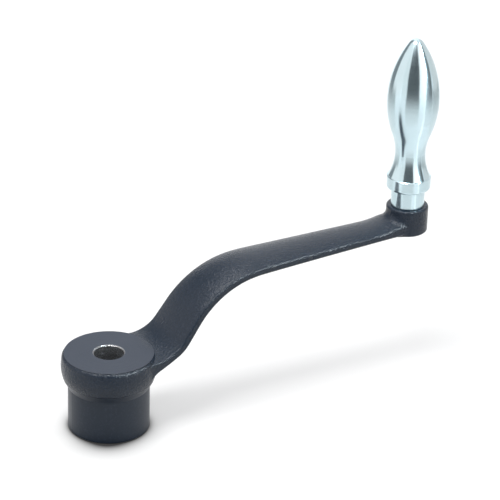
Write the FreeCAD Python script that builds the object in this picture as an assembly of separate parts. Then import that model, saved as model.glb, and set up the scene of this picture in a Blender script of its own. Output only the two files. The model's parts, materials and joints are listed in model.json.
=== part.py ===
import FreeCAD, Part
import math
import os
from FreeCAD import Vector

# Cranked machine handle. A cast arm carries a bored hub at one end and an eye at the other. A turned handle
# stands on the eye and spins freely on a steel spindle, held there by a wire ring.
#
# Frame: the origin is on the bore axis at the hub's lower end face. +Z runs up the bore, the way the handle
# points. +X runs from the hub towards the eye. All lengths are in millimetres and all angles in degrees.

# Crank as a whole
THROW = 160.0              # from the bore axis to the handle's axis
CUTTER_SPARE = 1.0         # cutters reach this far past the faces they start from
LONG_EDGE_SHARE = 0.6      # only the arm's four long edges span more than this share of the throw

# Hub
HUB_HEIGHT = 38.0          # from the lower end face to the machined disc on top
HUB_DIA = 38.2             # turned barrel below the flange
HUB_FOOT_CHAMFER = 0.5     # round the lower end face
BORE_DIA = 14.0            # H7 bore for the machine's shaft
BORE_CHAMFER = 0.5

# Rounded flange round the top of the hub, with sizes measured down from the disc
DISC_DIA = 41.8            # flat machined disc
DISC_STEP = 0.5            # the disc stands this far above the cast shoulder
SHOULDER_DIA = 43.9        # where the rounded shoulder passes into the bulge
SHOULDER_DROP = 2.5
SHOULDER_BOW = 0.14        # height of the shoulder's arc, as a share of its chord
FLANGE_DIA = 44.6          # widest circle of the bulge
FLANGE_DROP = 6.7
FLANGE_LOW_DIA = 42.2      # ring where the bulge meets the turned cone below it
FLANGE_LOW_DROP = 12.8
NECK_DROP = 16.4           # where the cone meets the barrel

# Arm: its ridge leaves the hub level with the disc, bends up, rises straight, bends back and runs out
ROOT_SINK = 0.3            # the ridge starts this far below the disc
ROOT_X = 2.0               # the arm starts inside the hub, this far from the bore axis
RISE_X = 25.8              # where the line of the rise crosses the level of the root
RISE_ANGLE = 56.0
RUN_ANGLE = 1.05           # slight upward tilt of the straight run
LOWER_BEND_R = 15.0
UPPER_BEND_SHARE = 0.587   # of the rise's length, which the bend above it takes up

# Arm: flat section with a crowned top and a crowned underside
ARM_ROOT_INSET = 3.6       # the arm's side at its root is this far in from the disc's rim
ARM_HALF_WIDTH_MID = 12.5
ARM_LEN_MID = 90.0         # from the eye back to where the half width in the middle is measured
ARM_EYE_OVERHANG = 1.4     # the eye's wall stands this far out past the arm's side
ARM_EDGE = 3.0             # height of the side faces
CROWN_ANGLE_HUB = 11.0     # slope of the crowned top at its edges
CROWN_ANGLE_EYE = 28.0
CROWN_LEN_HUB = 150.0      # from the eye back to where the crown has come down to its slope at the hub
UNDER_ANGLE_HUB = 20.0     # slope of the crowned underside at its edges, from the bends to the hub
UNDER_ANGLE_EYE = 12.0
ARM_EDGE_R = 1.0           # rounding of the four long edges
ROOT_FLARE_DEPTH = 5.5     # the arm deepens and widens where it grows out of the hub
ROOT_FLARE_WIDTH = 1.0
ROOT_FLARE_LEN = 12.6      # from the flange's wall outwards
EYE_FLARE_RISE = 1.5       # the arm's top lifts where it runs into the eye
EYE_FLARE_LEN = 12.0       # from the eye's wall inwards
ARM_SPANS = 60             # sections along the arm, less one

# Eye at the far end
EYE_TOP = 81.5             # the handle's seat, above the hub's lower end face
EYE_HEIGHT = 13.0
EYE_DIA = 20.4
EYE_RIDGE_DROP = 6.5       # from the seat down to the arm's ridge, at the handle's axis
EYE_BLEND_R = 3.8          # blend between arm and eye
EYE_TOP_EDGE = 1.0
EYE_FOOT_EDGE = 1.2        # rounding of the foot, which fades out before it meets the arm
EYE_FOOT_FADE = 105.0      # angle from the far side, either way, at which it has faded out
EYE_FOOT_CUT_IN = 0.02     # the rounding tool reaches this far past the wall and the foot's face
EYE_LONGER = 13.0          # the eye is drawn this much longer below, and then faced off at its foot
FACING_MARGIN = 0.5        # the cut that faces the eye's foot reaches this far past the blend

# Spindle: stud in the eye, collar on its seat, journal inside the handle
STUD_DIA = 10.0            # M10 thread, drawn plain
STUD_CLEAR = 0.03          # radial
STUD_RECESS = 0.8          # its end stays this far inside the eye
STUD_END_CHAMFER = 0.8
EYE_HOLE_CHAMFER = 0.6
SOCKET_FLATS = 5.0         # hexagon socket in the stud's end
SOCKET_DEPTH = 4.0
COLLAR_DIA = 16.2
COLLAR_HEIGHT = 8.8
COLLAR_EDGE = 0.3
JOURNAL_DIA = 10.0
JOURNAL_LEN = 48.0
JOURNAL_END_CHAMFER = 1.0
RUN_CLEAR = 0.05           # radial, between journal and handle
LIFT_GAP = 0.2             # between the collar and the handle's lower face

# Wire ring that keeps the handle on the spindle
RING_WIRE = 1.2            # square wire
RING_CLEAR = 0.05          # round the wire, in both grooves
RING_HEIGHT = 40.0         # its middle, above the handle's lower face
RING_GAP_ANGLE = 50.0      # the ring's open part

# Handle
GRIP_LEN = 76.2
GRIP_DIA = 25.0            # at the belly
GRIP_BELLY_HEIGHT = 45.5
GRIP_TIP_R = 4.0
GRIP_WAIST_DIA = 14.6
GRIP_WAIST_HEIGHT = 18.2
GRIP_WAIST_BEND = 25.0     # radius of the hollow above the waist
GRIP_RING_DIA = 21.2       # plain ring at the foot
GRIP_RING_HEIGHT = 6.4
GRIP_RING_FOOT_EDGE = 1.2
GRIP_RING_TOP_CHAMFER = 0.3
GRIP_FLARE_DIA = 20.2      # where the hollow below the waist meets the ring
GRIP_BORE_SPARE = 1.5      # free depth above the spindle's end
GRIP_BORE_CHAMFER = 0.5
DRILL_ANGLE = 59.0         # half the drill's point angle


def line(a, b):
    return Part.LineSegment(Vector(*a), Vector(*b)).toShape()


def arc(a, m, b):
    return Part.Arc(Vector(*a), Vector(*m), Vector(*b)).toShape()


def rz(r, z):
    """A point of a turned profile."""
    return (r, 0.0, z)


def round_corner(cr, cz, r, a0, a1):
    """Three points on a profile's corner arc, from angle a0 to a1."""
    pts = []
    for a in (a0, 0.5 * (a0 + a1), a1):
        t = math.radians(a)
        pts.append(rz(cr + r * math.cos(t), cz + r * math.sin(t)))
    return pts


def bowed(a, b, share):
    """Middle of a profile's arc from a up to b that bows outwards by a share of its chord."""
    out_r, out_z = b[2] - a[2], a[0] - b[0]
    return rz(0.5 * (a[0] + b[0]) + share * out_r, 0.5 * (a[2] + b[2]) + share * out_z)


def turned(edges):
    """A solid turned about Z from a closed profile, with its seam on the side away from +X."""
    solid = Part.Face(Part.Wire(edges)).revolve(Vector(0, 0, 0), Vector(0, 0, 1), 360)
    solid.rotate(Vector(0, 0, 0), Vector(0, 0, 1), 180)
    return solid


def bored(dia, z0, z1, chamfer0, chamfer1):
    """A cutter for a hole from z0 to z1 on the Z axis, with a chamfer at each end."""
    r, low, high = 0.5 * dia, z0 - CUTTER_SPARE, z1 + CUTTER_SPARE
    pts = [
        rz(0, low), rz(r + chamfer0 + CUTTER_SPARE, low), rz(r, z0 + chamfer0),
        rz(r, z1 - chamfer1), rz(r + chamfer1 + CUTTER_SPARE, high), rz(0, high),
    ]
    return turned([line(a, b) for a, b in zip(pts, pts[1:] + pts[:1])])


def make_hub():
    """The hub: foot, barrel, cone, bulge, shoulder and the disc's step, turned in one profile."""
    r, c, top = 0.5 * HUB_DIA, HUB_FOOT_CHAMFER, HUB_HEIGHT
    neck = rz(r, top - NECK_DROP)
    low = rz(0.5 * FLANGE_LOW_DIA, top - FLANGE_LOW_DROP)
    crest = rz(0.5 * FLANGE_DIA, top - FLANGE_DROP)
    shoulder = rz(0.5 * SHOULDER_DIA, top - SHOULDER_DROP)
    ledge = rz(0.5 * DISC_DIA, top - DISC_STEP)
    return turned([
        line(rz(0, 0), rz(r - c, 0)),
        line(rz(r - c, 0), rz(r, c)),
        line(rz(r, c), neck),
        line(neck, low),
        arc(low, crest, shoulder),
        arc(shoulder, bowed(shoulder, ledge, SHOULDER_BOW), ledge),
        line(ledge, rz(ledge[0], top)),
        line(rz(ledge[0], top), rz(0, top)),
        line(rz(0, top), rz(0, 0)),
    ])


class ArmPath:
    """The arm's ridge in the XZ plane: level root, lower bend, rise, upper bend and run."""

    def __init__(self):
        self.rise, self.run = math.radians(RISE_ANGLE), math.radians(RUN_ANGLE)
        tan_rise, tan_run = math.tan(self.rise), math.tan(self.run)
        self.root_z = HUB_HEIGHT - ROOT_SINK
        eye_z = EYE_TOP - EYE_RIDGE_DROP
        # corner where the line of the rise meets the line of the run
        corner_x = (eye_z - THROW * tan_run - self.root_z + RISE_X * tan_rise) / (tan_rise - tan_run)
        corner_z = self.root_z + (corner_x - RISE_X) * tan_rise
        low_cut = LOWER_BEND_R * math.tan(0.5 * self.rise)
        high_cut = UPPER_BEND_SHARE * math.hypot(corner_x - RISE_X, corner_z - self.root_z)
        self.high_r = high_cut / math.tan(0.5 * (self.rise - self.run))
        self.bend1 = (RISE_X - low_cut, self.root_z)
        self.rise0 = self._step((RISE_X, self.root_z), self.rise, low_cut)
        self.bend2 = self._step((corner_x, corner_z), self.rise, -high_cut)
        self.run0 = self._step((corner_x, corner_z), self.run, high_cut)
        self.spans = [
            self.bend1[0] - ROOT_X,
            LOWER_BEND_R * self.rise,
            math.hypot(self.bend2[0] - self.rise0[0], self.bend2[1] - self.rise0[1]),
            self.high_r * (self.rise - self.run),
            (THROW - self.run0[0]) / math.cos(self.run),
        ]
        self.length = sum(self.spans)

    @staticmethod
    def _step(p, angle, d):
        return (p[0] + d * math.cos(angle), p[1] + d * math.sin(angle))

    def at(self, s):
        """Position and slope of the ridge, a length s from its start."""
        if s <= self.spans[0]:
            return ROOT_X + s, self.root_z, 0.0
        s -= self.spans[0]
        if s <= self.spans[1]:
            a = s / LOWER_BEND_R
            x = self.bend1[0] + LOWER_BEND_R * math.sin(a)
            return x, self.root_z + LOWER_BEND_R * (1.0 - math.cos(a)), a
        s -= self.spans[1]
        if s <= self.spans[2]:
            x, z = self._step(self.rise0, self.rise, s)
            return x, z, self.rise
        s -= self.spans[2]
        if s <= self.spans[3]:
            a = self.rise - s / self.high_r
            x = self.bend2[0] + self.high_r * (math.sin(self.rise) - math.sin(a))
            return x, self.bend2[1] + self.high_r * (math.cos(a) - math.cos(self.rise)), a
        s -= self.spans[3]
        x, z = self._step(self.run0, self.run, s)
        return x, z, self.run


def half_width(back, length):
    """The arm's half width at a length back from the eye: a smooth curve through its three widths."""
    m, h = ARM_LEN_MID, length
    eye_end = 0.5 * EYE_DIA - ARM_EYE_OVERHANG
    root = 0.5 * DISC_DIA - ARM_ROOT_INSET
    return (eye_end * (back - m) * (back - h) / (m * h)
            + ARM_HALF_WIDTH_MID * back * (h - back) / (m * (h - m))
            + root * back * (back - m) / (h * (h - m)))


def arm_section(path, s):
    """One closed section across the arm, square to its ridge."""
    x, z, slope = path.at(s)
    back = path.length - s
    # both flares are full where the arm is inside the hub or the eye
    side_y = 0.5 * DISC_DIA - ARM_ROOT_INSET + ROOT_FLARE_WIDTH
    out = s + ROOT_X - math.sqrt(max((0.5 * FLANGE_DIA) ** 2 - side_y ** 2, 0.0))
    root = min(max(1.0 - out / ROOT_FLARE_LEN, 0.0), 1.0) ** 2
    eye = min(max(1.0 - (back - 0.5 * EYE_DIA) / EYE_FLARE_LEN, 0.0), 1.0) ** 2
    w = half_width(back, path.length) + ROOT_FLARE_WIDTH * root
    lift = EYE_FLARE_RISE * eye
    side = ARM_EDGE + ROOT_FLARE_DEPTH * root + lift
    near_hub = min(max((back - ARM_LEN_MID) / (CROWN_LEN_HUB - ARM_LEN_MID), 0.0), 1.0)
    crown_angle = CROWN_ANGLE_EYE + (CROWN_ANGLE_HUB - CROWN_ANGLE_EYE) * near_hub
    crown = w * math.tan(0.5 * math.radians(crown_angle))
    near_eye = max(1.0 - back / ARM_LEN_MID, 0.0)
    under_angle = UNDER_ANGLE_HUB + (UNDER_ANGLE_EYE - UNDER_ANGLE_HUB) * near_eye
    under = w * math.tan(0.5 * math.radians(under_angle))

    def at(y, h):
        return (x - (h + lift) * math.sin(slope), y, z + (h + lift) * math.cos(slope))

    top_l, top_r = at(-w, -crown), at(w, -crown)
    low_l, low_r = at(-w, -crown - side), at(w, -crown - side)
    return Part.Wire([
        arc(top_l, at(0.0, 0.0), top_r),
        line(top_r, low_r),
        arc(low_r, at(0.0, -crown - side - under), low_l),
        line(low_l, top_l),
    ])


def make_arm():
    path = ArmPath()
    sections = [arm_section(path, path.length * i / ARM_SPANS) for i in range(ARM_SPANS + 1)]
    return Part.makeLoft(sections, True, False)


def on_eye_wall(p):
    return abs(math.hypot(p.x - THROW, p.y) - 0.5 * EYE_DIA) < 1e-3


def middle(edge):
    return edge.valueAt(0.5 * (edge.FirstParameter + edge.LastParameter))


def blended(doc, shape, name, radius_of):
    """The shape with every edge rounded at once to the radius that radius_of gives it, if any."""
    base = doc.addObject("Part::Feature", name + "_base")
    base.Shape = shape
    blend = doc.addObject("Part::Fillet", name)
    blend.Base = base
    picked = [(i + 1, radius_of(e)) for i, e in enumerate(shape.Edges)]
    blend.Edges = [(i, r, r) for i, r in picked if r]
    doc.recompute()
    return blend.Shape.Solids[0]


def foot_rounding(eye_r, eye_foot):
    """A cutter that rounds the eye's foot. Its axis is off the eye's, so that the rounding fades out."""
    r, d = EYE_FOOT_EDGE, EYE_FOOT_CUT_IN
    fade = math.radians(EYE_FOOT_FADE)
    shift = (r - d - math.sqrt(2.0 * r * d)) / (1.0 - math.cos(fade))
    wall = eye_r + shift
    out = wall + r
    foot = round_corner(wall - r + d, eye_foot + r - d, r, -90.0, 0.0)
    profile = Part.Wire([
        arc(*foot),
        line(foot[2], rz(out, foot[2][2])),
        line(rz(out, foot[2][2]), rz(out, eye_foot - r)),
        line(rz(out, eye_foot - r), rz(foot[0][0], eye_foot - r)),
        line(rz(foot[0][0], eye_foot - r), foot[0]),
    ])
    cutter = Part.Face(profile).revolve(Vector(0, 0, 0), Vector(0, 0, 1), 2.0 * EYE_FOOT_FADE)
    cutter.rotate(Vector(0, 0, 0), Vector(0, 0, 1), -EYE_FOOT_FADE)
    cutter.translate(Vector(THROW - shift, 0, 0))
    return cutter


def make_crank_arm(doc):
    eye_r = 0.5 * EYE_DIA
    eye_foot = EYE_TOP - EYE_HEIGHT
    # with the eye drawn long, its blend with the arm runs all round
    eye = Part.makeCylinder(eye_r, EYE_HEIGHT + EYE_LONGER, Vector(THROW, 0, eye_foot - EYE_LONGER))
    body = make_hub().fuse([make_arm(), eye]).removeSplitter().Solids[0]

    def radius_of(edge):
        if edge.BoundBox.XLength > LONG_EDGE_SHARE * THROW:
            return ARM_EDGE_R
        m, a = middle(edge), edge.valueAt(edge.FirstParameter)
        if on_eye_wall(m) and on_eye_wall(a):
            if abs(m.z - EYE_TOP) < 1e-3:
                return EYE_TOP_EDGE
            if type(edge.Curve).__name__ not in ("Line", "Circle"):
                return EYE_BLEND_R
        return None

    body = blended(doc, body, "arm_blends", radius_of)
    facing_r = eye_r + EYE_BLEND_R + FACING_MARGIN
    facing_len = 2.0 * EYE_LONGER
    facing = Part.makeCylinder(facing_r, facing_len, Vector(THROW, 0, eye_foot - facing_len))
    body = body.cut([facing, foot_rounding(eye_r, eye_foot)])
    hole = bored(STUD_DIA + 2.0 * STUD_CLEAR, eye_foot, EYE_TOP, EYE_HOLE_CHAMFER, EYE_HOLE_CHAMFER)
    hole.translate(Vector(THROW, 0, 0))
    bore = bored(BORE_DIA, 0.0, HUB_HEIGHT, BORE_CHAMFER, BORE_CHAMFER)
    return body.cut([bore, hole])


def ring_groove(r_in, r_out, mid):
    """A cutter for a square groove that takes the wire ring."""
    half = 0.5 * RING_WIRE + RING_CLEAR
    return turned([
        line(rz(r_in, mid - half), rz(r_out, mid - half)),
        line(rz(r_out, mid - half), rz(r_out, mid + half)),
        line(rz(r_out, mid + half), rz(r_in, mid + half)),
        line(rz(r_in, mid + half), rz(r_in, mid - half)),
    ])


def make_spindle():
    """Stud, collar and journal, turned about the handle's axis from one profile."""
    z0 = EYE_TOP - EYE_HEIGHT + STUD_RECESS
    z1 = EYE_TOP
    z2 = z1 + COLLAR_HEIGHT
    z3 = z2 + JOURNAL_LEN
    rs, rc, rj = 0.5 * STUD_DIA, 0.5 * COLLAR_DIA, 0.5 * JOURNAL_DIA
    pts = [
        rz(0, z0), rz(rs - STUD_END_CHAMFER, z0), rz(rs, z0 + STUD_END_CHAMFER), rz(rs, z1),
        rz(rc - COLLAR_EDGE, z1), rz(rc, z1 + COLLAR_EDGE),
        rz(rc, z2 - COLLAR_EDGE), rz(rc - COLLAR_EDGE, z2),
        rz(rj, z2), rz(rj, z3 - JOURNAL_END_CHAMFER), rz(rj - JOURNAL_END_CHAMFER, z3), rz(0, z3),
    ]
    body = turned([line(a, b) for a, b in zip(pts, pts[1:] + pts[:1])])
    bore_r = rj + RUN_CLEAR
    ring_z = z2 + LIFT_GAP + RING_HEIGHT
    body = body.cut(ring_groove(bore_r - 0.5 * RING_WIRE - RING_CLEAR, rj + CUTTER_SPARE, ring_z))
    corner = 0.5 * SOCKET_FLATS / math.cos(math.radians(30.0))
    turns = [math.radians(60.0 * i) for i in range(6)]
    hexagon = [Vector(corner * math.cos(t), corner * math.sin(t), 0) for t in turns]
    socket = Part.Face(Part.makePolygon(hexagon + hexagon[:1])).extrude(Vector(0, 0, SOCKET_DEPTH))
    socket.translate(Vector(0, 0, z0))
    body = body.cut(socket)
    body.translate(Vector(THROW, 0, 0))
    return body


def grip_outline():
    """Edges of the handle's outside, from the foot's face up to the tip, with its foot at height 0."""
    ring, flare = 0.5 * GRIP_RING_DIA, 0.5 * GRIP_FLARE_DIA
    waist, belly, tip = 0.5 * GRIP_WAIST_DIA, 0.5 * GRIP_DIA, GRIP_TIP_R
    hw, hb, top = GRIP_WAIST_HEIGHT, GRIP_BELLY_HEIGHT, GRIP_LEN
    foot = round_corner(ring - GRIP_RING_FOOT_EDGE, GRIP_RING_FOOT_EDGE, GRIP_RING_FOOT_EDGE, -90.0, 0.0)
    c = GRIP_RING_TOP_CHAMFER
    crown = [rz(ring, GRIP_RING_HEIGHT - c), rz(ring - c, GRIP_RING_HEIGHT)]
    # hollow from the ring up to the waist, upright at the waist
    rise, turn_in = hw - GRIP_RING_HEIGHT, flare - waist
    r_low = (rise ** 2 + turn_in ** 2) / (2.0 * turn_in)
    low = round_corner(waist + r_low, hw, r_low, 180.0 + math.degrees(math.asin(rise / r_low)), 180.0)
    # hollow above the waist and the belly's lower part, tangent to each other and upright at both ends
    rise, swell = hb - hw, belly - waist
    both = (rise ** 2 + swell ** 2) / (2.0 * swell)
    r_hollow = GRIP_WAIST_BEND
    r_belly = both - r_hollow
    lean = math.degrees(math.asin(rise / both))
    hollow = round_corner(waist + r_hollow, hw, r_hollow, 180.0, 180.0 - lean)
    swell_up = round_corner(belly - r_belly, hb, r_belly, -lean, 0.0)
    # the belly's upper part, tangent to the tip
    rise = top - hb
    r_top = (belly ** 2 + rise ** 2 - 2.0 * rise * tip) / (2.0 * (belly - tip))
    lean = math.degrees(math.atan2(rise - tip, r_top - belly))
    upper = round_corner(belly - r_top, hb, r_top, 0.0, lean)
    nose = round_corner(0.0, top - tip, tip, lean, 90.0)
    return foot[0], [
        arc(*foot), line(foot[2], crown[0]), line(*crown), line(crown[1], low[0]), arc(*low),
        arc(hollow[0], hollow[1], swell_up[0]), arc(*swell_up),
        arc(upper[0], upper[1], nose[0]), arc(nose[0], nose[1], rz(0, top)),
    ]


def make_grip():
    """The handle, closed at the top, with a blind bore for the journal and a groove for the ring."""
    start, outside = grip_outline()
    body = turned([line(rz(0, 0), start)] + outside + [line(rz(0, GRIP_LEN), rz(0, 0))])
    r = 0.5 * JOURNAL_DIA + RUN_CLEAR
    depth = JOURNAL_LEN - LIFT_GAP + GRIP_BORE_SPARE
    cone = r / math.tan(math.radians(DRILL_ANGLE))
    c, low = GRIP_BORE_CHAMFER, -CUTTER_SPARE
    pts = [rz(0, low), rz(r + c + CUTTER_SPARE, low), rz(r, c), rz(r, depth), rz(0, depth + cone)]
    body = body.cut(turned([line(a, b) for a, b in zip(pts, pts[1:] + pts[:1])]))
    body = body.cut(ring_groove(r - CUTTER_SPARE, r + 0.5 * RING_WIRE + RING_CLEAR, RING_HEIGHT))
    body.translate(Vector(THROW, 0, EYE_TOP + COLLAR_HEIGHT + LIFT_GAP))
    return body


def make_snap_ring():
    """Square wire bent to an open circle, half in the journal's groove and half in the handle's."""
    r, half = 0.5 * JOURNAL_DIA + RUN_CLEAR, 0.5 * RING_WIRE
    z = EYE_TOP + COLLAR_HEIGHT + LIFT_GAP + RING_HEIGHT
    section = [Vector(r + x * half, 0, z + h * half) for x, h in ((-1, -1), (1, -1), (1, 1), (-1, 1))]
    body = Part.Face(Part.makePolygon(section + section[:1]))
    body = body.revolve(Vector(0, 0, 0), Vector(0, 0, 1), 360.0 - RING_GAP_ANGLE)
    body.rotate(Vector(0, 0, 0), Vector(0, 0, 1), 0.5 * RING_GAP_ANGLE)
    body.translate(Vector(THROW, 0, 0))
    return body


def main():
    os.makedirs("parts", exist_ok=True)
    doc = FreeCAD.newDocument("crank_handle")
    parts = {
        "crank_arm": make_crank_arm(doc),
        "spindle": make_spindle(),
        "grip": make_grip(),
        "snap_ring": make_snap_ring(),
    }
    for name, shape in parts.items():
        solid = shape.Solids[0]
        solid.exportStep("parts/" + name + ".step")
        box = solid.optimalBoundingBox()
        print(name, "valid", solid.isValid(), "solids", len(shape.Solids), "faces", len(solid.Faces))
        print("  volume %.0f" % solid.Volume, "x %.2f to %.2f" % (box.XMin, box.XMax),
              "y %.2f to %.2f" % (box.YMin, box.YMax), "z %.2f to %.2f" % (box.ZMin, box.ZMax))


main()
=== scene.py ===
import json
import math

import bmesh
import bpy
from mathutils import Matrix, Vector


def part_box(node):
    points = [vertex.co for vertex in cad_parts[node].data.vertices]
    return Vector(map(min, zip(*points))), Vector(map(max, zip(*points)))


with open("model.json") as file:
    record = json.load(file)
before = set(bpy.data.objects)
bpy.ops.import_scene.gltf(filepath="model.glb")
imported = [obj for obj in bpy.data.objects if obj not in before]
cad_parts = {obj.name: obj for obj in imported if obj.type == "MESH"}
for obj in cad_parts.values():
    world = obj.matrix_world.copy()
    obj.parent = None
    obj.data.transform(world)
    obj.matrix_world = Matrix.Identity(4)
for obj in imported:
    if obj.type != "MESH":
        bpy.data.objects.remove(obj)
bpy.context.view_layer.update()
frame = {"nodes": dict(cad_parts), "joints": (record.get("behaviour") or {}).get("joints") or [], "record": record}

# A cranked machine handle: a coated casting with a bored hub, and a plated handle that spins on a steel
# spindle. Lengths are in metres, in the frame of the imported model: the origin is on the bore's axis at the
# hub's lower end, +Z runs up the bore and +X runs to the handle.

bl_info = {
    "name": "Crank Handle Finishes",
    "version": (1, 0, 0),
    "blender": (4, 5, 0),
    "location": "3D View > Sidebar > Crank Handle",
    "description": "Gives the packed crank handle its coating, plating, floor, lamps and camera",
    "category": "Object",
}

MM = 0.001

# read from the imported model
NODES = frame["nodes"]
MOUNTS = {mount["name"]: mount for mount in frame["record"]["mounts"]}
DISC_HEIGHT = MOUNTS["hub_top"]["pos_m"][2]
BORE_RADIUS = MOUNTS["hub_bore"]["dims"]["r_mm"] * MM
BORE_CHAMFER = 0.5 * (DISC_HEIGHT - MOUNTS["hub_bore"]["dims"]["length_mm"] * MM)
HANDLE_AXIS_X = frame["joints"][0]["pos_m"][0]
HANDLE_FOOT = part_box("grip")[0].z
EYE_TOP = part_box("crank_arm")[1].z
HUB_REACH = -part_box("crank_arm")[0].x

# where the finishes on the casting end: the disc's at its rim, the bare metal round the eye's hole, the
# bore's bare metal this far inside its chamfer's rim, and the smooth cone's this far below the disc
DISC_RADIUS = 0.0212
EYE_BARE_RADIUS = 0.0056
BORE_INSET = 0.00005
CONE_DROP = 0.0128
# the disc's finish fades out round this point of the arm's root, at this radius and over this width
ARM_ROOT = (0.030, 0.0)
ARM_ROOT_RADIUS = 0.0125
ARM_ROOT_FADE = 0.008
# widths over which one finish gives way to the next: at the bore's rim, at a flat face or the eye's hole, at
# the disc's rim, at the cone's top and at the hub's wall
BORE_LINE = 0.00006
FACE_LINE = 0.0001
DISC_LINE = 0.0002
CONE_LINE = 0.0006
WALL_LINE = 0.001

# the coating's roughness, and what clouds, every turned face and the disc alone add to it
COAT_ROUGH = 0.22
COAT_CLOUD_ROUGH = 0.08
TURNED_ROUGH = 0.10
DISC_ROUGH = 0.28
COAT_SPECULAR = 0.3
BARE_METALLIC = 0.9
# the clouds in each finish
COAT_CLOUDS = {"Size": 0.018, "Contrast": 0.35}
PLATE_CLOUDS = {"Size": 0.012, "Contrast": 0.3}
CLOUD_GAIN = 4.0
# the coating turns pale where its pimples rise past this height, over this slope, and how pale the pimples
# and the clouds make it
PIMPLE_TOP = 0.58
PIMPLE_SLOPE = 0.16
PIMPLE_PALE = 0.5
CLOUD_PALE = 0.25
# depth of the coating's relief, how strongly it shades, and the share of it that the disc's rings have
COAT_RELIEF = 0.00058
COAT_RELIEF_STRENGTH = 0.8
DISC_RING_SHARE = 0.28

# the plating's roughness, what the turning rings add to it, how far they stretch a highlight and which way,
# and the depth of their relief and how strongly it shades
PLATE_ROUGH = 0.15
PLATE_RING_ROUGH = 0.08
PLATE_STRETCH = 0.75
PLATE_STRETCH_TURN = 0.25
PLATE_RELIEF = 0.00004
PLATE_RELIEF_STRENGTH = 0.10
# how many broad turning marks there are to one fine mark
BROAD_RINGS = 0.17

# how fine the wire's grain is, how dark it gets, the wire's roughness and what the grain adds to it
WIRE_GRAIN = 1500.0
WIRE_DARK = 0.7
WIRE_ROUGH = 0.25
WIRE_GRAIN_ROUGH = 0.2

# the floor, a little below the hub's foot
FLOOR_SIZE = 8.0
FLOOR_PLACE = (0.08, 0.0, -0.0001)
# the floor turns plain white round this far from the middle of the crank, over this width
FLOOR_FAR = 0.7
FLOOR_FAR_WIDTH = 1.1
# painted shade: how much the wide rim and the thin line darken the floor at the hub's foot, and what is left under
# the hub
PAINTED_RIM_SHADE_DEPTH = 1.12
PAINTED_LINE_SHADE_DEPTH = 0.75
PAINTED_SHADE_UNDER_HUB = 0.06
SKY_COLOUR = (0.97, 0.985, 1.0)

# lamps and mirrored cards are placed round this point of the handle
HANDLE_MIDDLE = Vector((HANDLE_AXIS_X, 0.0, HANDLE_FOOT + 0.04))
TOP_LAMP_PLACE = Vector((-0.42, -0.15, 2.08))
TOP_LAMP_SIZE = 0.8
GLINT_COLOUR = (0.80, 0.93, 1.0)
# each lamp's side and how far it stands above level in degrees, its distance, how wide and tall it is, and
# the setting with its power
LAMPS = (
    ("left_lamp", -77.0, 46.0, 0.9, 0.5, 0.9, "left_power"),
    ("right_lamp", 60.0, 26.0, 0.75, 0.2, 0.6, "right_power"),
    ("front_lamp", 0.0, 47.0, 2.0, 0.5, 0.5, "front_power"),
    ("glint_lamp", 58.0, 34.0, 0.8, 0.07, 0.30, "glint_power"),
)
# each card's side and how far it stands above level in degrees, its distance, how wide and tall it is, and
# its brightness
CARDS = (
    ("front_card", -6.8, 20.0, 0.55, 0.60, 0.63, (0.11, 0.115, 0.12)),
    ("right_front_card", 37.0, 30.0, 0.60, 0.33, 0.80, (1.55, 1.42, 1.38)),
    ("right_edge_card", 69.5, 20.0, 0.50, 0.30, 0.90, (0.14, 0.14, 0.14)),
    ("right_card", 125.0, 15.0, 0.55, 0.70, 0.90, (0.92, 0.88, 0.86)),
    ("left_front_card", -48.0, 20.0, 0.60, 0.26, 0.80, (1.10, 1.08, 1.06)),
    ("left_card", -86.0, 20.0, 0.60, 0.58, 0.80, (1.20, 1.15, 1.13)),
    ("left_edge_card", -130.0, 15.0, 0.55, 0.38, 0.80, (0.30, 0.31, 0.32)),
    ("back_card", 180.0, 38.0, 0.90, 1.00, 0.80, (1.5, 1.5, 1.5)),
)
# each floor sheet's side in degrees, how far its ends are from the handle's axis, and its width at both ends
SHEETS = (
    ("front_sheet", -6.8, 0.15, 0.90, 0.18, 1.00),
    ("right_sheet", 69.5, 0.15, 0.90, 0.10, 0.56),
    ("left_sheet", -118.0, 0.15, 0.90, 0.17, 1.00),
    ("right_back_sheet", 116.0, 0.15, 0.90, 0.15, 0.92),
)
STREAK = ("right_streak", 52.0, 0.08, 0.26, 0.02, 0.02)
SHEET_TONE = (1.04, 1.03, 1.02)
STREAK_TONE = (1.7, 1.6, 1.55)
SHEET_HEIGHT = 0.0005
# the sheets fade out from this far from the handle's axis, over about this length
SHEET_START = 0.23
SHEET_FADE = 0.38

SENSOR_WIDTH = 36.0
CAMERA_NEAR = 0.01
CAMERA_FAR = 50.0


class CastingColours(bpy.types.PropertyGroup):
    """Colours and texture of the coated casting and of its machined faces"""

    coat: bpy.props.FloatVectorProperty(
        name="Coating", description="Colour of the powder coating on the casting",
        subtype="COLOR", size=3, min=0.0, max=1.0, default=(0.0085, 0.0160, 0.0280))
    coat_pale: bpy.props.FloatVectorProperty(
        name="Coating, thin", description="Colour of the coating where it is thin over fine high spots",
        subtype="COLOR", size=3, min=0.0, max=1.0, default=(0.018, 0.027, 0.045))
    disc: bpy.props.FloatVectorProperty(
        name="Disc", description="Colour of the flat machined disc under its thin coating",
        subtype="COLOR", size=3, min=0.0, max=1.0, default=(0.034, 0.042, 0.059))
    bare_metal: bpy.props.FloatVectorProperty(
        name="Bare metal", description="Colour of the machined bore and chamfer",
        subtype="COLOR", size=3, min=0.0, max=1.0, default=(0.34, 0.345, 0.355))
    grain: bpy.props.FloatProperty(
        name="Grain", description="Size of the coating's fine pimples",
        unit="LENGTH", min=0.0001, max=0.005, default=0.0010)


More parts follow.
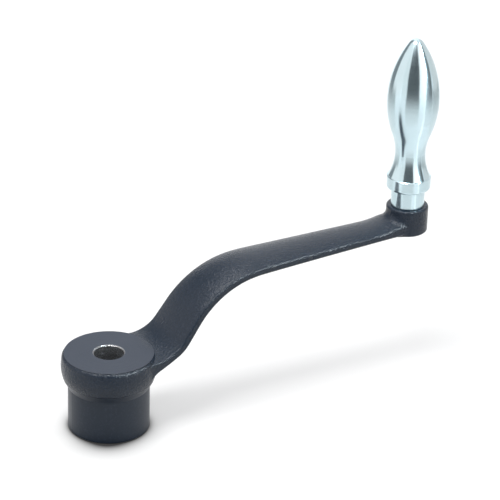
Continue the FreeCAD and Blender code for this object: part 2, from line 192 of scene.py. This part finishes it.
class SteelColours(bpy.types.PropertyGroup):
    """Colours and turning marks of the zinc plated steel"""

    plating: bpy.props.FloatVectorProperty(
        name="Plating", description="Colour of the bright zinc plating",
        subtype="COLOR", size=3, min=0.0, max=1.0, default=(0.61, 0.765, 0.82))
    plating_dull: bpy.props.FloatVectorProperty(
        name="Plating, dull", description="Colour of the plating where it is clouded",
        subtype="COLOR", size=3, min=0.0, max=1.0, default=(0.53, 0.67, 0.72))
    wire: bpy.props.FloatVectorProperty(
        name="Spring wire", description="Colour of the wire ring inside the handle",
        subtype="COLOR", size=3, min=0.0, max=1.0, default=(0.50, 0.51, 0.52))
    turning_pitch: bpy.props.FloatProperty(
        name="Turning pitch", description="Distance between two turning marks",
        unit="LENGTH", min=0.0001, max=0.002, default=0.00035)


class StageSettings(bpy.types.PropertyGroup):
    """Camera, lamps and floor"""

    azimuth: bpy.props.FloatProperty(
        name="Azimuth", description="Direction the camera looks in, from +Y towards +X",
        subtype="ANGLE", default=math.radians(29.49))
    elevation: bpy.props.FloatProperty(
        name="Elevation", description="How far the camera looks down",
        subtype="ANGLE", default=math.radians(25.94))
    roll: bpy.props.FloatProperty(
        name="Roll", description="Turn of the camera about its own line of sight",
        subtype="ANGLE", default=math.radians(1.6))
    distance: bpy.props.FloatProperty(
        name="Distance", description="From the camera to the point it is aimed past",
        unit="LENGTH", min=0.2, max=5.0, default=1.178)
    aim: bpy.props.FloatVectorProperty(
        name="Aim", description="Point the camera is aimed past",
        subtype="XYZ", size=3, unit="LENGTH", default=(0.080, 0.0, 0.060))
    offset: bpy.props.FloatVectorProperty(
        name="Offset", description="How far the aim stands right of and above the picture's middle",
        size=2, unit="LENGTH", default=(0.00539, -0.01220))
    lens: bpy.props.FloatProperty(
        name="Lens", description="Focal length on a 36 mm wide sensor",
        unit="CAMERA", min=20.0, max=400.0, default=179.42)
    floor_tone: bpy.props.FloatProperty(
        name="Floor tone", description="Share of its brightness that the floor gets from the lamps",
        min=0.0, max=1.0, default=0.42)
    floor_glow: bpy.props.FloatProperty(
        name="Floor glow", description="Share of its brightness that the camera sees without any lamp",
        min=0.0, max=1.0, default=0.485)
    # the floor's painted shade round the hub's foot: where it starts, how quickly it fades, how far it reaches on
    # the camera's side, and its thin line
    foot_radius: bpy.props.FloatProperty(
        name="Foot radius", description="Radius of the hub's foot, round which the floor is darker",
        unit="LENGTH", min=0.001, max=0.1, default=0.0191)
    painted_shade_fade: bpy.props.FloatProperty(
        name="Foot shade", description="How quickly the dark rim round the hub's foot fades out on the floor",
        unit="LENGTH", min=0.001, max=0.1, default=0.0064)
    painted_shade_shift: bpy.props.FloatProperty(
        name="Foot shift", description="How much further the dark rim reaches on the camera's side",
        unit="LENGTH", min=0.0, max=0.1, default=0.012)
    painted_line_fade: bpy.props.FloatProperty(
        name="Foot line", description="How quickly the thin dark line right at the foot fades out",
        unit="LENGTH", min=0.0001, max=0.1, default=0.0016)
    sky: bpy.props.FloatProperty(
        name="Sky", description="Strength of the even light from all round",
        min=0.0, max=2.0, default=0.50)
    key_power: bpy.props.FloatProperty(
        name="Top lamp", description="Power of the large lamp overhead",
        unit="POWER", min=0.0, max=100.0, default=35.0)
    left_power: bpy.props.FloatProperty(
        name="Left lamp", description="Power of the large soft lamp left of the camera",
        unit="POWER", min=0.0, max=100.0, default=2.0)
    right_power: bpy.props.FloatProperty(
        name="Right lamp", description="Power of the tall lamp right of the camera",
        unit="POWER", min=0.0, max=100.0, default=2.2)
    front_power: bpy.props.FloatProperty(
        name="Front lamp", description="Power of the weak lamp above the camera",
        unit="POWER", min=0.0, max=100.0, default=5.6)
    glint_power: bpy.props.FloatProperty(
        name="Glint lamp",
        description="Power of the narrow lamp that glints on edges and on the coating's grain",
        unit="POWER", min=0.0, max=100.0, default=20.0)


def settings():
    """The settings of the casting, of the steel and of the stage."""
    scene = bpy.context.scene
    return scene.crank_casting, scene.crank_steel, scene.crank_stage


def feed(tree, value, socket):
    """Links a node's output to a socket, or sets the socket to a number or to a colour of three numbers."""
    if isinstance(value, bpy.types.NodeSocket):
        tree.links.new(value, socket)
    elif isinstance(value, (int, float)):
        socket.default_value = value
    else:
        socket.default_value = (*value, 1.0)


def emptied(owner, output_kind="ShaderNodeOutputMaterial"):
    """A new material's or world's node tree with only an output in it, and that output's socket."""
    owner.use_nodes = True
    tree = owner.node_tree
    tree.nodes.clear()
    return tree, tree.nodes.new(output_kind).inputs["Surface"]


def principled_material(name):
    """A material with one Principled shader, and its tree and shader."""
    material = bpy.data.materials.new(name)
    tree, surface = emptied(material)
    shader = tree.nodes.new("ShaderNodeBsdfPrincipled")
    tree.links.new(shader.outputs["BSDF"], surface)
    return material, tree, shader


def maths(tree, operation, a, b=None, clamp=False):
    """The output of a Math node. Each of a and b is a number or another node's output."""
    made = tree.nodes.new("ShaderNodeMath")
    made.operation = operation
    made.use_clamp = clamp
    feed(tree, a, made.inputs[0])
    if b is not None:
        feed(tree, b, made.inputs[1])
    return made.outputs[0]


def added(tree, base, value, share, clamp=False):
    """The base plus a share of the value."""
    return maths(tree, "ADD", base, maths(tree, "MULTIPLY", value, share), clamp)


def above(tree, value, edge, width):
    """0 below the edge and 1 above it, with a soft change of the given width."""
    made = tree.nodes.new("ShaderNodeMapRange")
    made.interpolation_type = "SMOOTHSTEP"
    made.inputs["From Min"].default_value = edge - 0.5 * width
    made.inputs["From Max"].default_value = edge + 0.5 * width
    tree.links.new(value, made.inputs["Value"])
    return made.outputs["Result"]


def below(tree, value, edge, width):
    """1 below the edge and 0 above it, with a soft change of the given width."""
    return maths(tree, "SUBTRACT", 1.0, above(tree, value, edge, width))


def mixed(tree, share, a, b):
    """A colour between a and b. Each of them is a colour or another node's output."""
    made = tree.nodes.new("ShaderNodeMix")
    made.data_type = "RGBA"
    tree.links.new(share, made.inputs["Factor"])
    for key, value in (("A", a), ("B", b)):
        feed(tree, value, next(s for s in made.inputs if s.name == key and s.type == "RGBA"))
    return next(s for s in made.outputs if s.type == "RGBA")


def noise(tree, place, scale, detail=2.0, roughness=0.5):
    """Noise in space. The scale is a number or another node's output."""
    made = tree.nodes.new("ShaderNodeTexNoise")
    made.inputs["Detail"].default_value = detail
    made.inputs["Roughness"].default_value = roughness
    tree.links.new(place, made.inputs["Vector"])
    feed(tree, scale, made.inputs["Scale"])
    return made.outputs["Fac"]


def noise_along(tree, along, scale):
    """Noise along one line."""
    made = tree.nodes.new("ShaderNodeTexNoise")
    made.noise_dimensions = "1D"
    made.inputs["Scale"].default_value = scale
    tree.links.new(along, made.inputs["W"])
    return made.outputs["Fac"]


def bump(tree, height, strength, distance):
    """The normal of a surface with a relief. The distance is its depth where the height is 1."""
    made = tree.nodes.new("ShaderNodeBump")
    made.inputs["Strength"].default_value = strength
    made.inputs["Distance"].default_value = distance
    tree.links.new(height, made.inputs["Height"])
    return made.outputs["Normal"]


def axis_distances(tree, centre=(0.0, 0.0)):
    """The place in Object coordinates, its distance from an upright axis, and its height."""
    place = tree.nodes.new("ShaderNodeTexCoord")
    parts = tree.nodes.new("ShaderNodeSeparateXYZ")
    tree.links.new(place.outputs["Object"], parts.inputs[0])
    x = maths(tree, "SUBTRACT", parts.outputs["X"], centre[0])
    y = maths(tree, "SUBTRACT", parts.outputs["Y"], centre[1])
    squares = maths(tree, "ADD", maths(tree, "MULTIPLY", x, x), maths(tree, "MULTIPLY", y, y))
    return place.outputs["Object"], maths(tree, "SQRT", squares), parts.outputs["Z"]


def new_group(name, inputs, outputs):
    """An empty shader node group. Inputs and outputs are (kind, name, default) triples."""
    group = bpy.data.node_groups.new(name, "ShaderNodeTree")
    for way, sockets in (("INPUT", inputs), ("OUTPUT", outputs)):
        for kind, label, default in sockets:
            socket = group.interface.new_socket(name=label, in_out=way, socket_type=kind)
            if default is not None:
                socket.default_value = default
    return group, group.nodes.new("NodeGroupInput"), group.nodes.new("NodeGroupOutput")


def cloud_group():
    """Soft patches that break up a plain finish, used by the coating and by the plating."""
    group, start, end = new_group(
        "finish_clouds",
        [
            ("NodeSocketVector", "Place", None),
            ("NodeSocketFloat", "Size", 0.01),
            ("NodeSocketFloat", "Contrast", 0.5),
        ],
        [("NodeSocketFloat", "Patch", None)],
    )
    scale = maths(group, "DIVIDE", 1.0, start.outputs["Size"])
    patches = noise(group, start.outputs["Place"], scale, detail=3.0, roughness=0.55)
    centred = maths(group, "SUBTRACT", patches, 0.5)
    spread = maths(group, "MULTIPLY", centred, start.outputs["Contrast"])
    group.links.new(added(group, 0.5, spread, CLOUD_GAIN, clamp=True), end.inputs["Patch"])
    return group


def turning_group():
    """Fine rings that a turning tool leaves, uneven in depth, about an upright axis."""
    group, start, end = new_group(
        "turning_rings",
        [("NodeSocketFloat", "Along", 0.0), ("NodeSocketFloat", "Pitch", 0.0004)],
        [("NodeSocketFloat", "Height", None)],
    )
    turns = maths(group, "DIVIDE", start.outputs["Along"], start.outputs["Pitch"])
    height = maths(group, "ADD", noise_along(group, turns, 1.0), noise_along(group, turns, BROAD_RINGS))
    group.links.new(maths(group, "MULTIPLY", height, 0.5), end.inputs["Height"])
    return group


def shared_groups():
    """The clouds and the turning rings, each built once for all the materials that use it."""
    groups = bpy.data.node_groups
    return groups.get("finish_clouds") or cloud_group(), groups.get("turning_rings") or turning_group()


def placed_group(tree, group, **values):
    """The one output of a group placed in a material, with each named input linked or set."""
    made = tree.nodes.new("ShaderNodeGroup")
    made.node_tree = group
    for key, value in values.items():
        feed(tree, value, made.inputs[key])
    return made.outputs[0]


def casting_material(clouds, rings):
    """Fine-textured dark coating, with the disc, the bare bore and the eye's hole told apart by place."""
    casting, steel, _ = settings()
    material, tree, shader = principled_material("coated_casting")
    place, radius, height = axis_distances(tree)
    bore_wall = below(tree, radius, BORE_RADIUS + BORE_CHAMFER - BORE_INSET, BORE_LINE)
    on_top = above(tree, height, DISC_HEIGHT - FACE_LINE, FACE_LINE)
    not_higher = below(tree, height, DISC_HEIGHT + FACE_LINE, FACE_LINE)
    on_disc = maths(tree, "MULTIPLY", maths(tree, "MULTIPLY", on_top, not_higher),
                    below(tree, radius, DISC_RADIUS, DISC_LINE))
    # the disc's finish fades out where the arm grows out of it
    _, from_arm, _ = axis_distances(tree, ARM_ROOT)
    on_disc = maths(tree, "MULTIPLY", on_disc, above(tree, from_arm, ARM_ROOT_RADIUS, ARM_ROOT_FADE))
    _, eye_radius, _ = axis_distances(tree, (HANDLE_AXIS_X, 0.0))
    bare = maths(tree, "MAXIMUM", bore_wall, below(tree, eye_radius, EYE_BARE_RADIUS, FACE_LINE))

    patches = placed_group(tree, clouds, Place=place, **COAT_CLOUDS)
    pimples = noise(tree, place, 1.0 / casting.grain, detail=2.5, roughness=0.6)
    pale = maths(tree, "MULTIPLY", above(tree, pimples, PIMPLE_TOP, PIMPLE_SLOPE), PIMPLE_PALE)
    pale = added(tree, pale, patches, CLOUD_PALE, clamp=True)
    coat = mixed(tree, pale, tuple(casting.coat), tuple(casting.coat_pale))
    with_disc = mixed(tree, on_disc, coat, tuple(casting.disc))
    tree.links.new(mixed(tree, bare, with_disc, tuple(casting.bare_metal)), shader.inputs["Base Color"])
    tree.links.new(maths(tree, "MULTIPLY", bare, BARE_METALLIC), shader.inputs["Metallic"])

    # the barrel and the cone above it are turned smooth before they are coated
    low = below(tree, height, DISC_HEIGHT - CONE_DROP, CONE_LINE)
    near_axis = below(tree, radius, HUB_REACH, WALL_LINE)
    smooth = maths(tree, "MAXIMUM", on_disc, maths(tree, "MULTIPLY", low, near_axis))
    rough = added(tree, COAT_ROUGH, patches, COAT_CLOUD_ROUGH)
    rough = added(tree, rough, smooth, TURNED_ROUGH)
    rough = added(tree, rough, on_disc, DISC_ROUGH)
    tree.links.new(rough, shader.inputs["Roughness"])
    shader.inputs["Specular IOR Level"].default_value = COAT_SPECULAR

    turned = placed_group(tree, rings, Along=radius, Pitch=steel.turning_pitch)
    coat_texture = maths(tree, "MULTIPLY", pimples, maths(tree, "SUBTRACT", 1.0, smooth))
    disc_texture = maths(tree, "MULTIPLY", turned, on_disc)
    texture = added(tree, coat_texture, disc_texture, DISC_RING_SHARE)
    tree.links.new(bump(tree, texture, COAT_RELIEF_STRENGTH, COAT_RELIEF), shader.inputs["Normal"])
    return material


def plated_steel(name, clouds, rings, foot):
    """Bright zinc plated steel, turned about the handle's axis."""
    _, steel, _ = settings()
    material, tree, shader = principled_material(name)
    place, radius, height = axis_distances(tree, (HANDLE_AXIS_X, 0.0))
    outward = maths(tree, "ADD", maths(tree, "SUBTRACT", height, foot), radius)
    patches = placed_group(tree, clouds, Place=place, **PLATE_CLOUDS)
    turned = placed_group(tree, rings, Along=outward, Pitch=steel.turning_pitch)
    colour = mixed(tree, patches, tuple(steel.plating_dull), tuple(steel.plating))
    tree.links.new(colour, shader.inputs["Base Color"])
    shader.inputs["Metallic"].default_value = 1.0
    tree.links.new(added(tree, PLATE_ROUGH, turned, PLATE_RING_ROUGH), shader.inputs["Roughness"])
    shader.inputs["Anisotropic"].default_value = PLATE_STRETCH
    shader.inputs["Anisotropic Rotation"].default_value = PLATE_STRETCH_TURN
    tangent = tree.nodes.new("ShaderNodeTangent")
    tangent.direction_type = "RADIAL"
    tangent.axis = "Z"
    tree.links.new(tangent.outputs["Tangent"], shader.inputs["Tangent"])
    tree.links.new(bump(tree, turned, PLATE_RELIEF_STRENGTH, PLATE_RELIEF), shader.inputs["Normal"])
    return material


def wire_material():
    """Plain drawn spring wire, hidden inside the handle."""
    _, steel, _ = settings()
    material, tree, shader = principled_material("spring_wire")
    place, _, _ = axis_distances(tree, (HANDLE_AXIS_X, 0.0))
    grain = noise(tree, place, WIRE_GRAIN)
    dark = tuple(WIRE_DARK * c for c in steel.wire)
    tree.links.new(mixed(tree, grain, dark, tuple(steel.wire)), shader.inputs["Base Color"])
    shader.inputs["Metallic"].default_value = 1.0
    tree.links.new(added(tree, WIRE_ROUGH, grain, WIRE_GRAIN_ROUGH), shader.inputs["Roughness"])
    return material


def dress(name, material):
    """Puts a material on a CAD node in place of its packed one."""
    for slot in NODES[name].material_slots:
        slot.material = material


class CRANK_OT_coat_casting(bpy.types.Operator):
    """Coats the casting: hub, flange, arm and eye"""

    bl_idname = "crank.coat_casting"
    bl_label = "Coat the casting"

    def execute(self, context):
        clouds, rings = shared_groups()
        dress("crank_arm", casting_material(clouds, rings))
        return {"FINISHED"}


class CRANK_OT_plate_steel(bpy.types.Operator):
    """Plates the spindle and the handle, and leaves the wire ring plain"""

    bl_idname = "crank.plate_steel"
    bl_label = "Plate the steel"

    def execute(self, context):
        clouds, rings = shared_groups()
        dress("grip", plated_steel("plated_handle", clouds, rings, HANDLE_FOOT))
        dress("spindle", plated_steel("plated_spindle", clouds, rings, EYE_TOP))
        dress("snap_ring", wire_material())
        return {"FINISHED"}


def aimed(position, target):
    """An upright lamp's or card's matrix at a position, facing a target."""
    back = (position - target).normalized()
    right = Vector((0.0, 0.0, 1.0)).cross(back).normalized()
    turn = Matrix((right, back.cross(right), back)).transposed()
    return Matrix.Translation(position) @ turn.to_4x4()


def from_camera_side(stage, side, height, distance):
    """A point round the handle: side degrees right of the camera's side and height degrees above level."""
    turn = stage.azimuth - math.radians(side)
    rise = math.radians(height)
    away = Vector((-math.sin(turn) * math.cos(rise), -math.cos(turn) * math.cos(rise), math.sin(rise)))
    return HANDLE_MIDDLE + distance * away


def lamp(name, position, target, width, tall, power):
    """A white area lamp that faces a target."""
    data = bpy.data.lights.new(name, "AREA")
    data.shape = "RECTANGLE"
    data.size, data.size_y = width, tall
    data.energy = power
    obj = bpy.data.objects.new(name, data)
    obj.matrix_world = aimed(position, target)
    bpy.context.scene.collection.objects.link(obj)
    return obj


def build_lamps(stage):
    """The lamps, all facing the point the camera is aimed past."""
    middle = Vector(stage.aim)
    lamp("top_lamp", TOP_LAMP_PLACE, middle, TOP_LAMP_SIZE, TOP_LAMP_SIZE, stage.key_power)
    made = {}
    for name, side, height, distance, width, tall, setting in LAMPS:
        place = from_camera_side(stage, side, height, distance)
        made[name] = lamp(name, place, middle, width, tall, getattr(stage, setting))
    made["front_lamp"].visible_glossy = False
    made["glint_lamp"].visible_diffuse = False
    made["glint_lamp"].data.color = GLINT_COLOUR


def flat_piece(name, width, depth):
    """A flat rectangle in the XY plane, made with bmesh operators."""
    mesh = bpy.data.meshes.new(name)
    bm = bmesh.new()
    bmesh.ops.create_grid(bm, x_segments=1, y_segments=1, size=0.5)
    bmesh.ops.scale(bm, vec=Vector((width, depth, 1.0)), verts=bm.verts)
    bm.to_mesh(mesh)
    bm.free()
    obj = bpy.data.objects.new(name, mesh)
    bpy.context.scene.collection.objects.link(obj)
    return obj


def seen_directly(tree):
    """1 for rays from the camera, off a mirror or through glass, and 0 for the rays that light the object."""
    path = tree.nodes.new("ShaderNodeLightPath")
    seen = maths(tree, "MAXIMUM", path.outputs["Is Camera Ray"], path.outputs["Is Glossy Ray"])
    return maths(tree, "MAXIMUM", seen, path.outputs["Is Transmission Ray"])


def faded_rim(tree, radius, edge, length, depth):
    """1 well outside a circle, less by the depth at its edge, and falling to 0 inside it."""
    beyond = maths(tree, "SUBTRACT", radius, edge)
    faded = maths(tree, "EXPONENT", maths(tree, "DIVIDE", beyond, -length))
    return maths(tree, "SUBTRACT", 1.0, maths(tree, "MULTIPLY", faded, depth), clamp=True)


def painted_foot_shadow(tree, stage):
    """Painted shade: the share of its brightness that the floor keeps near the hub's foot. Under the hub it is
    very small.
    """
    shift = (-stage.painted_shade_shift * math.sin(stage.azimuth), -stage.painted_shade_shift * math.cos(stage.azimuth))
    _, radius, _ = axis_distances(tree, shift)
    wide = faded_rim(tree, radius, stage.foot_radius - stage.painted_shade_shift, stage.painted_shade_fade, PAINTED_RIM_SHADE_DEPTH)
    _, radius, _ = axis_distances(tree)
    thin = faded_rim(tree, radius, stage.foot_radius, stage.painted_line_fade, PAINTED_LINE_SHADE_DEPTH)
    return maths(tree, "MAXIMUM", maths(tree, "MULTIPLY", wide, thin), PAINTED_SHADE_UNDER_HUB)


def floor_material(stage):
    """Pale floor: part of its brightness comes from the lamps, so it keeps the object's shadow. Round the hub's
    foot, shade is painted in.
    """
    material = bpy.data.materials.new("stage_floor")
    tree, surface = emptied(material)
    diffuse = tree.nodes.new("ShaderNodeBsdfDiffuse")
    glow = tree.nodes.new("ShaderNodeEmission")
    both = tree.nodes.new("ShaderNodeAddShader")
    # painted shade round and under the hub's foot darkens both the floor's colour and its glow
    share = painted_foot_shadow(tree, stage)
    tree.links.new(mixed(tree, share, (0.0, 0.0, 0.0), (stage.floor_tone,) * 3), diffuse.inputs["Color"])
    # far from the crank the lamps fade, and the floor's own glow makes up for it
    _, radius, _ = axis_distances(tree, tuple(stage.aim)[:2])
    far = above(tree, radius, FLOOR_FAR, FLOOR_FAR_WIDTH)
    glowing = added(tree, stage.floor_glow, far, 1.0 - stage.floor_glow)
    glowing = maths(tree, "MULTIPLY", seen_directly(tree), glowing)
    tree.links.new(maths(tree, "MULTIPLY", glowing, share), glow.inputs["Strength"])
    tree.links.new(diffuse.outputs[0], both.inputs[0])
    tree.links.new(glow.outputs[0], both.inputs[1])
    tree.links.new(both.outputs[0], surface)
    return material


def card_material(name, tone, fading=False):
    """A bright finish for the cards that the plated steel mirrors, even or fading away from the handle."""
    material = bpy.data.materials.new(name)
    tree, surface = emptied(material)
    glow = tree.nodes.new("ShaderNodeEmission")
    feed(tree, tone, glow.inputs["Color"])
    if fading:
        _, radius, _ = axis_distances(tree, (HANDLE_AXIS_X, 0.0))
        beyond = maths(tree, "DIVIDE", maths(tree, "SUBTRACT", radius, SHEET_START), -SHEET_FADE)
        faded = maths(tree, "MINIMUM", maths(tree, "EXPONENT", beyond), 1.0)
        tree.links.new(faded, glow.inputs["Strength"])
    tree.links.new(glow.outputs[0], surface)
    return material


def only_mirrored(card, material):
    """Makes a piece one that only mirror reflections see, like the boards round a photographer's table."""
    card.data.materials.append(material)
    card.visible_camera = False
    card.visible_diffuse = False
    card.visible_shadow = False
    card.visible_transmission = False
    card.visible_volume_scatter = False


def mirror_card(stage, name, side, height, distance, width, tall, tone):
    """A card that faces the handle from one side."""
    card = flat_piece(name, width, tall)
    card.data.transform(aimed(from_camera_side(stage, side, height, distance), HANDLE_MIDDLE))
    only_mirrored(card, card_material(name, tone))


def floor_sheet(stage, material, name, side, near, far, near_width, far_width):
    """A sheet on the floor, running away from the handle to one side, with its own width at each end."""
    card = flat_piece(name, 1.0, far - near)
    for corner in card.data.vertices:
        corner.co.x *= far_width if corner.co.y < 0.0 else near_width
    out = stage.azimuth - math.radians(side)
    middle = 0.5 * (near + far)
    place = Vector((HANDLE_AXIS_X - middle * math.sin(out), -middle * math.cos(out), SHEET_HEIGHT))
    card.data.transform(Matrix.Translation(place) @ Matrix.Rotation(-out, 4, "Z"))
    only_mirrored(card, material)


def white_world(stage):
    """Even pale light from all round, and plain white where it is seen directly."""
    world = bpy.data.worlds.new("stage_world")
    bpy.context.scene.world = world
    tree, surface = emptied(world, "ShaderNodeOutputWorld")
    light = tree.nodes.new("ShaderNodeBackground")
    feed(tree, SKY_COLOUR, light.inputs["Color"])
    tree.links.new(added(tree, stage.sky, seen_directly(tree), 1.0 - stage.sky), light.inputs["Strength"])
    tree.links.new(light.outputs[0], surface)


def photo_camera(stage):
    """The camera, where the photograph was taken from."""
    forward = Vector((
        math.sin(stage.azimuth) * math.cos(stage.elevation),
        math.cos(stage.azimuth) * math.cos(stage.elevation),
        -math.sin(stage.elevation),
    ))
    right = Vector((math.cos(stage.azimuth), -math.sin(stage.azimuth), 0.0))
    up = right.cross(forward)
    turn = Matrix.Rotation(-stage.roll, 3, forward)
    right, up = turn @ right, turn @ up
    data = bpy.data.cameras.new("photo_camera")
    data.sensor_width = SENSOR_WIDTH
    data.lens = stage.lens
    data.clip_start, data.clip_end = CAMERA_NEAR, CAMERA_FAR
    camera = bpy.data.objects.new("photo_camera", data)
    bpy.context.scene.collection.objects.link(camera)
    place = Vector(stage.aim) - forward * stage.distance - right * stage.offset[0] - up * stage.offset[1]
    axes = Matrix((right, up, -forward)).transposed()
    camera.matrix_world = Matrix.Translation(place) @ axes.to_4x4()
    bpy.context.scene.camera = camera


class CRANK_OT_build_stage(bpy.types.Operator):
    """Builds the floor, the lamps, the cards that the plating mirrors, the camera and the world"""

    bl_idname = "crank.build_stage"
    bl_label = "Build the stage"

    def execute(self, context):
        _, _, stage = settings()
        floor = flat_piece("floor", FLOOR_SIZE, FLOOR_SIZE)
        floor.data.transform(Matrix.Translation(FLOOR_PLACE))
        floor.data.materials.append(floor_material(stage))
        white_world(stage)
        build_lamps(stage)
        for card in CARDS:
            mirror_card(stage, *card)
        fading = card_material("floor_sheet", SHEET_TONE, fading=True)
        for sheet in SHEETS:
            floor_sheet(stage, fading, *sheet)
        floor_sheet(stage, card_material("streak", STREAK_TONE), *STREAK)
        photo_camera(stage)
        context.scene.view_settings.view_transform = "Standard"
        return {"FINISHED"}


class CRANK_PT_panel(bpy.types.Panel):
    """Lists the crank handle's colours and steps"""

    bl_idname = "CRANK_PT_panel"
    bl_label = "Crank Handle"
    bl_space_type = "VIEW_3D"
    bl_region_type = "UI"
    bl_category = "Crank Handle"

    def draw(self, context):
        scene = context.scene
        for title, group in (
            ("Casting", scene.crank_casting), ("Steel", scene.crank_steel), ("Stage", scene.crank_stage)
        ):
            box = self.layout.box()
            box.label(text=title)
            for key in group.bl_rna.properties.keys():
                if key not in ("rna_type", "name"):
                    box.prop(group, key)
        for operator in OPERATORS:
            self.layout.operator(operator.bl_idname)


GROUPS = (("crank_casting", CastingColours), ("crank_steel", SteelColours), ("crank_stage", StageSettings))
OPERATORS = (CRANK_OT_coat_casting, CRANK_OT_plate_steel, CRANK_OT_build_stage)


def register():
    """Adds the settings, the operators and the panel."""
    for name, group in GROUPS:
        bpy.utils.register_class(group)
        setattr(bpy.types.Scene, name, bpy.props.PointerProperty(type=group))
    for item in (*OPERATORS, CRANK_PT_panel):
        bpy.utils.register_class(item)


def unregister():
    """Takes them away again."""
    for item in reversed((*OPERATORS, CRANK_PT_panel)):
        bpy.utils.unregister_class(item)
    for name, group in reversed(GROUPS):
        delattr(bpy.types.Scene, name)
        bpy.utils.unregister_class(group)


def main():
    """Registers the settings and operators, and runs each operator."""
    register()
    bpy.ops.crank.coat_casting()
    bpy.ops.crank.plate_steel()
    bpy.ops.crank.build_stage()


if __name__ == "__main__":
    main()
